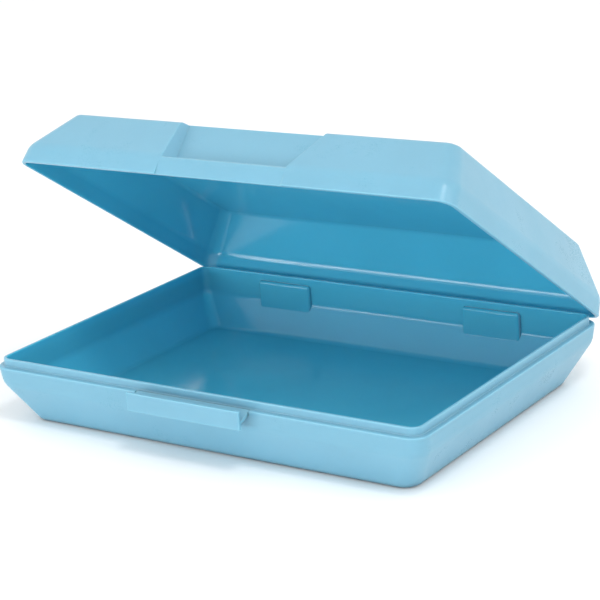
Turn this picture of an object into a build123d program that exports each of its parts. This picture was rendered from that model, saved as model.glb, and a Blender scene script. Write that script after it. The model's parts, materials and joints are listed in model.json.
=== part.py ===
"""Hinged plastic lunch box: a tub and a lid that meet at a stepped rim, and a grip latch.

Units are millimetres. Origin: centre of the tub's flat rest face. +X runs to the right along
the width, +Y towards the hinge at the back, +Z up. The lid is built closed, then turned about
the hinge axis to the opening at which the box is shown.
"""
from build123d import *
import os

# Overall size
box_width = 200.0
box_depth = 143.0
tub_height = 24.4  # rest face to shoulder
lid_height = 26.6  # shoulder to the lid's top face

# Walls
wall = 1.6
floor_thickness = 1.7
slope_wall_share = 1.15  # level width of the sloping wall, in wall thicknesses

# Form of the tub: upright band under the shoulder, then a slope down to the rest face
tub_band = 7.0
tub_inset_x = 10.8
tub_inset_y = 9.9
tub_base_corner = 6.5

# Form of the lid, measured from the shoulder upwards
lid_band = 7.5
lid_inset_x = 10.7
lid_inset_y = 13.5
lid_top_corner = 5.0

rim_corner = 6.8
band_draft = 0.8
base_round = 2.6
knee_round = 8.0
inner_base_round = 2.2
inner_knee_round = 5.0

# Stepped rim: the lid's wall stands on the ledge, outside the tub's raised rim
rim_clearance = 0.7
raised_rim_height = 3.2
raised_rim_wall = 1.3
seat_gap = 0.3
edge_round = 0.5
raised_rim_round = 0.4
ledge_round = 0.4  # hollow round at the foot of the raised rim

# Hinge: hooks on the lid snap round pins that cross two pockets in the tub's back wall
hinge_drop = 5.0  # axis below the shoulder
hinge_inset = 0.2  # axis inside the back face
hinge_spacing = 104.0
pocket_width = 24.0
pocket_wall = 1.5
boss_round = 1.2
pin_radius = 1.5
pin_clearance = 0.08
hook_wall = 1.4
hook_side_gap = 0.6
hook_gap = 0.5
hook_mouth = 2.5
lid_open_angle = 33.8  # the pose that the model is built in

# Latch: a web runs out from the shoulder to an upright grip plate
latch_width = 52.6
latch_reach = 5.8  # box's front face to the plate's outer face
plate_thickness = 1.4
plate_height = 7.6
plate_rise = 1.6  # plate's top above the shoulder
web_thickness = 1.3
web_fall = 2.8
plate_round = 0.4
root_margin = 0.35  # ledge left between the raised rim and the latch root
root_clearance = 0.08
web_gap = 0.3

# Finger recess in the lid's front, above the clip band
recess_half_low = 29.2  # at the lip, on the lid's skin
recess_half_high = 34.0  # at the lid's top face, on the lid's skin
recess_taper = 0.35  # side walls close in by this much per unit of depth
recess_lip = 8.0  # lip's top above the shoulder
lip_thickness = 2.2
lip_drop = 0.9
lip_chamfer = 0.9
recess_round = 0.5  # on the edges between the recess's side walls and the lid's skin
recess_floor_low = 6.8  # floor's foot behind the front face
recess_head_depth = 4.0  # floor's head behind the lid's slope, at the top face
clip_step = 0.6

# Tolerances for picking edges
level_tolerance = 1e-3
touch_tolerance = 1e-2

# Worked out from the sizes above
ledge_width = wall + rim_clearance
rim_inset = ledge_width + raised_rim_wall
half_depth = box_depth / 2
lid_foot = tub_height + seat_gap
total_height = tub_height + lid_height
hinge_y = half_depth - hinge_inset
hinge_z = tub_height - hinge_drop
hook_radius = pin_radius + pin_clearance + hook_wall
pocket_radius = hook_radius + hook_gap
root_radius = web_thickness / 2
root_y = -half_depth + ledge_width - root_margin - root_clearance - root_radius
root_z = tub_height - root_radius
recess_floor_high = lid_inset_y + recess_head_depth
far = 2 * box_depth


def outline(insets, corner, z):
    """Rounded rectangle inset from the box's outer size, at height z."""
    width = box_width - 2 * insets[0]
    depth = box_depth - 2 * insets[1]
    return Pos(0, 0, z) * RectangleRounded(width, depth, corner)


def loop_at(solid, z):
    """Edges that lie flat at height z."""
    flat = solid.edges().filter_by(lambda e: e.bounding_box().size.Z < level_tolerance)
    return flat.filter_by(lambda e: abs(e.center().Z - z) < level_tolerance)


def bowl(insets, heights, corners, base_radius, knee_radius):
    """Solid with a slope from its base to its knee, then a band up to its rim."""
    sections = [outline(*section) for section in zip(insets, corners, heights)]
    solid = loft(sections, ruled=True)
    solid = fillet(loop_at(solid, heights[1]), knee_radius)
    return fillet(loop_at(solid, heights[0]), base_radius)


def slope_inset(inset, height, band, z):
    """Inset of a bowl's outer slope at height z above its base."""
    return inset + (band_draft - inset) * z / (height - band)


def box_between(low, high):
    """Box from its lowest to its highest corner."""
    size = [h - l for l, h in zip(low, high)]
    centre = [(h + l) / 2 for l, h in zip(low, high)]
    return Pos(*centre) * Box(*size)


def extrude_profile(points, half_length):
    """Prism along X from (y, z) points."""
    face = make_face(Polyline([(0, y, z) for y, z in points], close=True))
    return extrude(face, half_length, dir=(1, 0, 0), both=True)


def rod(radius, length, y, z, x=0.0):
    """Cylinder along X."""
    return Pos(x, y, z) * Rot(0, 90, 0) * Cylinder(radius, length)


def hinge_places():
    return (-hinge_spacing / 2, hinge_spacing / 2)


def tub_outside():
    insets = [(tub_inset_x, tub_inset_y), (band_draft, band_draft), (0, 0)]
    heights = [0, tub_height - tub_band, tub_height]
    corners = [tub_base_corner, rim_corner, rim_corner]
    return bowl(insets, heights, corners, base_round, knee_round)


def tub_inside():
    """Hollow of the tub, open at the top of the raised rim."""
    top = tub_height + raised_rim_height
    slope = tub_height - tub_band
    side_wall = wall * slope_wall_share
    knee = slope * (tub_inset_y + side_wall - rim_inset) / (tub_inset_y - band_draft)
    low_x = slope_inset(tub_inset_x, tub_height, tub_band, floor_thickness) + side_wall
    low_y = slope_inset(tub_inset_y, tub_height, tub_band, floor_thickness) + side_wall
    insets = [(low_x, low_y), (rim_inset, rim_inset), (rim_inset, rim_inset)]
    corner = rim_corner - rim_inset
    corners = [tub_base_corner - wall, corner, corner]
    return bowl(insets, [floor_thickness, knee, top], corners, inner_base_round, inner_knee_round)


def hinge_boss(x):
    """Thicker wall behind a hinge pocket, inside the tub."""
    half = pocket_width / 2 + pocket_wall
    inner_y = hinge_y - pocket_radius - pocket_wall
    boss = box_between((x - half, inner_y, 0), (x + half, half_depth, tub_height))
    return fillet(boss.edges(), boss_round)


def hinge_pocket(x):
    """Room for one hook of the lid and the arm above it."""
    half = pocket_width / 2
    arm_y = half_depth - wall - hook_gap
    slot = box_between((x - half, arm_y, hinge_z), (x + half, far, tub_height + edge_round))
    round_part = rod(pocket_radius, pocket_width, hinge_y, hinge_z, x)
    behind = box_between(
        (x - half, hinge_y, hinge_z - pocket_radius), (x + half, far, tub_height)
    )
    return slot + round_part + behind


def latch_slot():
    """Groove along the shoulder that holds the latch's root, and the room for its web."""
    half = latch_width / 2 + web_gap
    groove = rod(root_radius + root_clearance, 2 * half, root_y, root_z)
    top = tub_height + edge_round
    side = root_y + root_radius + root_clearance
    above = box_between((-half, -far, root_z), (half, side, top))
    run = -half_depth - latch_reach + plate_thickness - root_y
    low = root_z - root_radius - web_gap
    below = extrude_profile(
        [(root_y, root_z), (root_y, low), (root_y + run, low - web_fall), (root_y + run, root_z)],
        half,
    )
    return groove + above + below


def raised_rim_foot(tub):
    """Loop where the raised rim stands on the ledge, inside the shoulder's rounded edge."""
    middle = (edge_round + ledge_width) / 2
    reach_x = box_width / 2 - middle
    reach_y = half_depth - middle
    level = loop_at(tub, tub_height)
    return level.filter_by(lambda e: abs(e.center().X) < reach_x and abs(e.center().Y) < reach_y)


def make_tub():
    inside = tub_inside()
    rim_corner_inside = rim_corner - ledge_width
    ledge = (ledge_width, ledge_width)
    raised = extrude(outline(ledge, rim_corner_inside, tub_height), raised_rim_height)
    outside = fillet(loop_at(tub_outside(), tub_height), edge_round)
    tub = outside + raised
    tub = fillet(raised_rim_foot(tub), ledge_round) - inside
    tub = fillet(loop_at(tub, tub_height + raised_rim_height), raised_rim_round)
    for x in hinge_places():
        tub += hinge_boss(x) & outside
        tub -= hinge_pocket(x)
        tub += rod(pin_radius, pocket_width + pocket_wall, hinge_y, hinge_z, x)
    return tub - latch_slot()


def make_latch():
    """Root bead, falling web and upright grip plate, one moulding."""
    front = -half_depth - latch_reach
    joint_y = front + plate_thickness
    half = latch_width / 2
    web_z = root_z - web_fall
    web = extrude_profile(
        [
            (root_y, root_z + root_radius),
            (root_y, root_z - root_radius),
            (joint_y - plate_thickness / 2, web_z - root_radius),
            (joint_y - plate_thickness / 2, web_z + root_radius),
        ],
        half,
    )
    plate_top = tub_height + plate_rise
    plate = box_between((-half, front, plate_top - plate_height), (half, joint_y, plate_top))
    plate = fillet(plate.edges(), plate_round)
    return web + rod(root_radius, latch_width, root_y, root_z) + plate


def lid_form():
    """Outer form of the lid, closed, rim down."""
    height = lid_height - seat_gap
    insets = [(lid_inset_x, lid_inset_y), (band_draft, band_draft), (0, 0)]
    heights = [0, height - lid_band, height]
    corners = [lid_top_corner, rim_corner, rim_corner]
    solid = bowl(insets, heights, corners, base_round, knee_round)
    solid = fillet(loop_at(solid, height), edge_round)
    return Pos(0, 0, total_height) * Rot(180, 0, 0) * solid


def lid_inside():
    """Hollow of the closed lid, open at its foot."""
    height = lid_height - seat_gap
    side_wall = wall * slope_wall_share
    low_x = slope_inset(lid_inset_x, height, lid_band, floor_thickness) + side_wall
    low_y = slope_inset(lid_inset_y, height, lid_band, floor_thickness) + side_wall
    knee_inset = band_draft + wall
    insets = [(low_x, low_y), (knee_inset, knee_inset), (wall, wall)]
    heights = [floor_thickness, height - lid_band, height]
    corners = [lid_top_corner - wall / 2, rim_corner - wall, rim_corner - wall]
    solid = bowl(insets, heights, corners, inner_base_round, inner_knee_round)
    return Pos(0, 0, total_height) * Rot(180, 0, 0) * solid


def recess_frame(y, narrowing):
    """Outline of the recess in the plane at y, wider at the top than at the lip."""
    front_half_high = recess_half_high + recess_taper * lid_inset_y
    widening = (front_half_high - recess_half_low) / (lid_height - recess_lip)
    spare = recess_lip / 2
    low = recess_half_low - narrowing - widening * spare
    high = front_half_high - narrowing + widening * spare
    foot_z = tub_height + recess_lip - spare
    head_z = total_height + spare
    corners = [(-low, foot_z), (low, foot_z), (high, head_z), (-high, head_z)]
    return make_face(Polyline([(x, y, z) for x, z in corners], close=True))


def recess_sides(grow):
    """Wedge between the recess's two side walls, moved outwards by grow."""
    depth = recess_floor_high + lip_thickness
    front = recess_frame(-half_depth, -grow)
    back = recess_frame(-half_depth + depth, recess_taper * depth - grow)
    return loft([front, back], ruled=True)


def recess_floor_profile(grow):
    """Foot and head of the recess floor, moved inwards by grow, as (y, z) points."""
    foot_z = tub_height + recess_lip - lip_drop - grow
    return [
        (-half_depth + recess_floor_low + grow, foot_z),
        (-half_depth + recess_floor_high + grow, total_height),
    ]


def recess_block():
    """Material that forms the walls of the finger recess inside the lid."""
    foot, head = recess_floor_profile(wall)
    front = -half_depth - wall
    profile = [(front, foot[1]), foot, head, (front, head[1])]
    return extrude_profile(profile, half_depth) & recess_sides(wall)


def recess_space():
    """Finger space above the lip: a trough behind the lip, then the steep floor."""
    foot, head = recess_floor_profile(0)
    front = -half_depth - wall
    lip_y = -half_depth + lip_thickness
    lip_z = tub_height + recess_lip
    chamfer_y = -half_depth + clip_step + lip_chamfer
    above = total_height + wall
    head_y = head[0] + (head[0] - foot[0]) * wall / (head[1] - foot[1])
    lip = [(front, lip_z - (chamfer_y - front)), (chamfer_y, lip_z), (lip_y, lip_z)]
    profile = lip + [(lip_y, foot[1]), foot, (head_y, above), (front, above)]
    return extrude_profile(profile, half_depth) & recess_sides(0)


def clip_band_step():
    """Shallow step that sets the clip band back between the recess's side edges."""
    low = (-recess_half_low, -far, lid_foot - wall)
    high = (recess_half_low, -half_depth + clip_step, tub_height + recess_lip)
    return box_between(low, high)


def recess_rims(lid, skin):
    """Edges where the side walls of the recess meet the lid's skin, above the lip."""
    walls = recess_sides(0).faces().filter_by(lambda f: abs(f.center().X) > recess_half_low / 2)

    def on_both(edge):
        spot = Vertex(*edge.position_at(0.5))
        gaps = [min(face.distance_to(spot) for face in group) for group in (walls, skin.faces())]
        return max(gaps) < touch_tolerance

    near = lid.edges().filter_by(lambda e: abs(e.center().X) < recess_half_high + wall)
    return near.filter_by(lambda e: e.center().Z > tub_height + recess_lip).filter_by(on_both)


def hinge_hook(x):
    """Arm and open ring that snap round a hinge pin."""
    half = pocket_width / 2 - hook_side_gap
    arm = box_between(
        (x - half, half_depth - wall, hinge_z), (x + half, half_depth, lid_foot + edge_round)
    )
    hook = arm + rod(hook_radius, 2 * half, hinge_y, hinge_z, x)
    hook -= rod(pin_radius + pin_clearance, 2 * half, hinge_y, hinge_z, x)
    return hook - box_between(
        (x - half, hinge_y - hook_mouth / 2, -far), (x + half, hinge_y + hook_mouth / 2, hinge_z)
    )


def make_closed_lid():
    skin = lid_form()
    outside = skin - recess_space() - clip_band_step()
    outside = fillet(recess_rims(outside, skin), recess_round)
    lid = outside - (lid_inside() - recess_block())
    for x in hinge_places():
        lid += hinge_hook(x)
    return lid


def opened(shape):
    """Shape turned about the hinge axis from closed to the shown opening."""
    there = Pos(0, hinge_y, hinge_z)
    return there * Rot(-lid_open_angle, 0, 0) * there.inverse() * shape


os.makedirs("parts", exist_ok=True)
export_step(make_tub(), "parts/tub.step")
export_step(make_latch(), "parts/latch.step")
export_step(opened(make_closed_lid()), "parts/lid.step")
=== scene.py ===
import json
from math import radians

import bpy
from mathutils import Matrix, Vector


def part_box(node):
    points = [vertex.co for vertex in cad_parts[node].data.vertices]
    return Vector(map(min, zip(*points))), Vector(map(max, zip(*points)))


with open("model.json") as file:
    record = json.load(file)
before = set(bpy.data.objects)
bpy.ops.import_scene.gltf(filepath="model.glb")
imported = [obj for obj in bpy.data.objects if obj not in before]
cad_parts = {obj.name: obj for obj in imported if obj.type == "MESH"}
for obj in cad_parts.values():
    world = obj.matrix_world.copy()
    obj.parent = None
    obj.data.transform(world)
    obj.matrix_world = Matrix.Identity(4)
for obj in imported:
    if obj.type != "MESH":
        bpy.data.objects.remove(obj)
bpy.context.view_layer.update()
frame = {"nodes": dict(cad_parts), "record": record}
scene = bpy.context.scene
joints = {joint["name"]: joint for joint in frame["record"]["behaviour"]["joints"]}

MM = 0.001


# ---------------------------------------------------------------- camera
# A 117 mm lens looks down at the box from its front right corner, with a slight roll.
CAMERA_PLACE = Vector((0.4306, -0.6076, 0.2740))
CAMERA_YAW = 0.6130
CAMERA_PITCH = -0.3013
CAMERA_ROLL = -0.0730
SENSOR_WIDTH = 36.0
FOCAL_LENGTH = 117.0


def make_camera():
    data = bpy.data.cameras.new("camera")
    data.sensor_width = SENSOR_WIDTH
    data.lens = FOCAL_LENGTH
    data.clip_start = 0.01
    data.clip_end = 20.0
    camera = bpy.data.objects.new("camera", data)
    heading = Matrix.Rotation(CAMERA_YAW, 4, "Z")
    tilt = Matrix.Rotation(radians(90) + CAMERA_PITCH, 4, "X")
    roll = Matrix.Rotation(CAMERA_ROLL, 4, "Z")
    camera.matrix_world = Matrix.Translation(CAMERA_PLACE) @ heading @ tilt @ roll
    scene.collection.objects.link(camera)
    scene.camera = camera


# ---------------------------------------------------------------- node helpers
class Nodes:
    """Builds one material's node tree, a node at a time."""

    def __init__(self, name):
        self.material = bpy.data.materials.new(name)
        self.material.use_nodes = True
        self.tree = self.material.node_tree
        self.shader = self.tree.nodes["Principled BSDF"]

    def add(self, kind, values=None, **settings):
        node = self.tree.nodes.new(kind)
        for key, value in settings.items():
            setattr(node, key, value)
        for key, value in (values or {}).items():
            self.put(node.inputs[key], value)
        return node

    def put(self, socket, value):
        """Links an output to the socket, or sets the socket's own value."""
        if isinstance(value, bpy.types.NodeSocket):
            self.tree.links.new(value, socket)
        else:
            socket.default_value = value

    def math(self, operation, *values):
        node = self.add("ShaderNodeMath", operation=operation)
        for socket, value in zip(node.inputs, values):
            self.put(socket, value)
        return node.outputs[0]

    def vector(self, operation, *values):
        node = self.add("ShaderNodeVectorMath", operation=operation)
        for socket, value in zip(node.inputs, values):
            self.put(socket, value)
        return node

    def noise(self, where, size, detail=2.0, roughness=0.5, distortion=0.0):
        """Noise from 0 to 1, whose blotches are about size metres across."""
        values = {"Vector": where, "Scale": 1 / size, "Detail": detail}
        values.update({"Roughness": roughness, "Distortion": distortion})
        return self.add("ShaderNodeTexNoise", values).outputs["Fac"]

    def ramp(self, value, low, high, to_low=0.0, to_high=1.0):
        """Maps low..high to to_low..to_high, smoothly, and holds it there outside."""
        node = self.add("ShaderNodeMapRange", interpolation_type="SMOOTHSTEP")
        for key, number in zip(("Value", "From Min", "From Max", "To Min", "To Max"),
                               (value, low, high, to_low, to_high)):
            self.put(node.inputs[key], number)
        return node.outputs["Result"]

    def blend(self, factor, first, second):
        """Mixes two colours, whose sockets are the mix node's seventh and eighth."""
        node = self.add("ShaderNodeMix", data_type="RGBA")
        for index, value in ((0, factor), (6, first), (7, second)):
            self.put(node.inputs[index], value)
        return node.outputs[2]

    def mix(self, factor, first, second):
        """Mixes two numbers."""
        node = self.add("ShaderNodeMix", data_type="FLOAT")
        for index, value in ((0, factor), (2, first), (3, second)):
            self.put(node.inputs[index], value)
        return node.outputs[0]


# ---------------------------------------------------------------- materials
# Outside blue: the plastic's colour made paler by a painted sheen, standing in for the hazy white
# reflection of the satin outside; the inside blue is the plain colour
OUTSIDE_BLUE_AND_SHEEN = (0.172, 0.400, 0.525, 1.0)
INSIDE_BLUE = (0.075, 0.435, 0.600, 1.0)
# Edge blue: a painted highlight for the light caught on thin edges
EDGE_HIGHLIGHT_BLUE = (0.330, 0.590, 0.710, 1.0)

RECESS_HALF = 36 * MM
EDGE_WIDTH = 0.5 * MM
CREVICE_REACH = 3.0 * MM
STREAK_SIZE = 60 * MM
SPECK_SIZE = 1.2 * MM
GRAIN_SIZE = 0.35 * MM
HANDLING_SIZE = 25 * MM
WAVINESS_SIZE = 14 * MM
SCRATCHED_PATCH_SIZE = 18 * MM
GRAIN_DEPTH = 0.02 * MM
WAVINESS_DEPTH = 0.12 * MM
POLYPROPYLENE_IOR = 1.49
SCATTER_DEPTH = 3.0 * MM


def outside_share(n, place, centre):
    """1 where a surface faces away from the centre of the hollow, 0 where it faces it."""
    from_centre = n.vector("SUBTRACT", place.outputs["Object"], centre).outputs[0]
    away = n.vector("NORMALIZE", from_centre).outputs[0]
    across = n.add("ShaderNodeSeparateXYZ", {"Vector": place.outputs["Object"]}).outputs["X"]
    beside = n.ramp(n.math("ABSOLUTE", across), RECESS_HALF, RECESS_HALF + 2 * MM)
    spread = n.add("ShaderNodeCombineXYZ", {"X": beside, "Y": 1.0, "Z": 1.0}).outputs[0]
    counted = n.vector("MULTIPLY", away, spread).outputs[0]
    facing = n.vector("DOT_PRODUCT", counted, place.outputs["Normal"]).outputs["Value"]
    return n.ramp(facing, -0.05, 0.05)


def polypropylene(name, seed, centre=None):
    """Moulded polypropylene: finely etched and satin outside, polished inside.

    centre is a point in the hollow of a shell. A surface that faces away from it is outside;
    across the finger recess, whose side walls face each other, only depth and height count.
    seed moves the noise, so that no two pieces share a pattern.
    """
    n = Nodes(name)
    place = n.add("ShaderNodeTexCoord")
    where = n.vector("ADD", place.outputs["Object"], (seed, 0.7 * seed, 1.3 * seed)).outputs[0]
    outside = outside_share(n, place, centre) if centre else 1.0

    # Edges: the normal of a slightly rounded surface turns away from the flat one
    rounded = n.add("ShaderNodeBevel", {"Radius": EDGE_WIDTH}, samples=4)
    surface = n.add("ShaderNodeNewGeometry")
    same = n.vector("DOT_PRODUCT", rounded.outputs[0], surface.outputs["Normal"]).outputs["Value"]
    edge = n.ramp(same, 0.998, 0.93)

    # Crevices: painted shade, the colour darkens in grooves and seams where less light reaches
    hollow = n.add("ShaderNodeAmbientOcclusion", {"Distance": CREVICE_REACH}, samples=4)
    crevice_shade_factor = n.ramp(hollow.outputs["AO"], 0.15, 0.85, 0.55, 1.0)

    # Colour: pigment streaks of the melt, a paler outside carrying a painted sheen for its hazy white
    # reflection, painted highlights on thin edges
    streaks = n.noise(where, STREAK_SIZE, detail=3, distortion=1.2)
    specks = n.noise(where, SPECK_SIZE, detail=1)
    # Painted sheen: surfaces facing outward take the paler outside blue
    skin_and_sheen = n.blend(outside, INSIDE_BLUE, OUTSIDE_BLUE_AND_SHEEN)
    streak_shade = n.ramp(streaks, 0.3, 0.7, 0.975, 1.015)
    shade = n.math("ADD", streak_shade, n.ramp(specks, 0.3, 0.7, -0.005, 0.005))
    # The streak tone is multiplied by the painted crevice shade
    shaded = n.vector("SCALE", skin_and_sheen)
    n.put(shaded.inputs["Scale"], n.math("MULTIPLY", shade, crevice_shade_factor))
    # Painted highlight: edges are mixed toward the paler edge blue, more strongly outside
    edge_highlight_amount = n.math("MULTIPLY", edge, n.mix(outside, 0.12, 0.35))
    n.put(n.shader.inputs["Base Color"], n.blend(edge_highlight_amount, shaded.outputs[0], EDGE_HIGHLIGHT_BLUE))

    # Roughness: etched grain, handling marks, worn and shinier edges
    grain = n.noise(where, GRAIN_SIZE, detail=2)
    handling = n.noise(where, HANDLING_SIZE, detail=4, roughness=0.6)
    smooth = n.ramp(handling, 0.3, 0.75, 0.11, 0.18)
    etched = n.math("ADD", n.ramp(handling, 0.3, 0.75, 0.29, 0.38), n.ramp(grain, 0.3, 0.7, -0.03, 0.03))
    rough = n.mix(outside, smooth, etched)
    n.put(n.shader.inputs["Roughness"], n.math("SUBTRACT", rough, n.math("MULTIPLY", edge, 0.06)))

    # Relief: fine grain, mostly outside, with sparse hair scratches and a faint waviness everywhere
    scratches = n.add("ShaderNodeTexWave", {
        "Vector": where, "Scale": 160.0, "Distortion": 26.0, "Detail": 3.0, "Detail Scale": 2.2,
    })
    hair = n.ramp(scratches.outputs["Fac"], 0.985, 1.0)
    sparse = n.ramp(n.noise(where, SCRATCHED_PATCH_SIZE, detail=2), 0.52, 0.62)
    wave = n.noise(where, WAVINESS_SIZE, detail=1)
    grain_height = n.math("MULTIPLY", grain, n.mix(outside, 0.05, 0.45))
    scratch_height = n.math("MULTIPLY", n.math("MULTIPLY", hair, sparse), -0.15)
    fine = n.add("ShaderNodeBump", {
        "Strength": 0.35, "Distance": GRAIN_DEPTH, "Normal": rounded.outputs[0],
        "Height": n.math("ADD", grain_height, scratch_height),
    })
    soft = n.add("ShaderNodeBump", {
        "Strength": 0.5, "Distance": WAVINESS_DEPTH, "Height": wave, "Normal": fine.outputs[0],
    })
    n.put(n.shader.inputs["Normal"], soft.outputs[0])

    n.shader.inputs["IOR"].default_value = POLYPROPYLENE_IOR
    n.shader.inputs["Subsurface Weight"].default_value = 0.55
    n.shader.inputs["Subsurface Radius"].default_value = (0.7, 1.0, 1.0)
    n.shader.inputs["Subsurface Scale"].default_value = SCATTER_DEPTH
    return n.material


# Heights of the two hollows' centres, in heights of the tub with its raised rim
TUB_CENTRE_SHARE = 0.55
LID_CENTRE_SHARE = 1.35


def tub_centre():
    """Point in the hollow of the tub."""
    return Vector((0, 0, TUB_CENTRE_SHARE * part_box("tub")[1][2]))


def lid_centre():
    """Point in the hollow of the lid at rest: the closed lid's centre, turned about the hinge."""
    hinge = joints["lid_hinge"]
    pivot = Vector(hinge["pos_m"])
    closed = Vector((0, 0, LID_CENTRE_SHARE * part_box("tub")[1][2]))
    opening = Matrix.Rotation(-radians(hinge["range_deg"][0]), 3, Vector(hinge["axis"]))
    return pivot + opening @ (closed - pivot)


def dress(node, material):
    mesh = frame["nodes"][node].data
    if len(mesh.materials) == 0:
        mesh.materials.append(material)
    for index in range(len(mesh.materials)):
        mesh.materials[index] = material


# ---------------------------------------------------------------- floor and light
FLOOR_HALF = 6.0
FLOOR_DROP = 0.1 * MM  # keeps the paper off the tub's rest face


def make_floor():
    mesh = bpy.data.meshes.new("floor")
    signs = [(-1, -1), (1, -1), (1, 1), (-1, 1)]
    corners = [(FLOOR_HALF * x, FLOOR_HALF * y, -FLOOR_DROP) for x, y in signs]
    mesh.from_pydata(corners, [], [(0, 1, 2, 3)])
    floor = bpy.data.objects.new("floor", mesh)
    scene.collection.objects.link(floor)
    paper = Nodes("white_paper")
    paper.shader.inputs["Base Color"].default_value = (0.97, 0.97, 0.97, 1.0)
    paper.shader.inputs["Roughness"].default_value = 0.9
    mesh.materials.append(paper.material)


def make_world(strength):
    world = bpy.data.worlds.new("studio")
    world.use_nodes = True
    background = world.node_tree.nodes["Background"]
    background.inputs["Color"].default_value = (1.0, 1.0, 1.0, 1.0)
    background.inputs["Strength"].default_value = strength
    scene.world = world


# Softboxes: place and size in metres, power in watts. All of them are aimed at the box.
AIM = Vector((0, 0, 0.05))
SOFTBOXES = {
    "overhead": ((0.5, -0.3, 1.05), (0.28, 0.28), 3.0),
    "front": ((-0.4, -1.6, 0.15), (1.4, 0.35), 10),
    "side": ((1.6, -0.2, 0.9), (0.9, 0.9), 5),
    "strip": ((-0.9, -1.1, 0.12), (0.06, 0.7), 1.2),
}
WORLD_STRENGTH = 1.0


def make_softbox(name, place, size, power):
    data = bpy.data.lights.new(name, "AREA")
    data.shape = "RECTANGLE"
    data.size, data.size_y = size
    data.energy = power
    light = bpy.data.objects.new(name, data)
    light.location = place
    light.rotation_euler = (AIM - Vector(place)).to_track_quat("-Z", "Y").to_euler()
    scene.collection.objects.link(light)


make_camera()
make_floor()
make_world(WORLD_STRENGTH)
for name, (place, size, power) in SOFTBOXES.items():
    make_softbox(name, place, size, power)
scene.view_settings.view_transform = "Standard"

dress("tub", polypropylene("tub_plastic", 0.0, tub_centre()))
dress("latch", polypropylene("latch_plastic", 3.1))
dress("lid", polypropylene("lid_plastic", 5.7, lid_centre()))
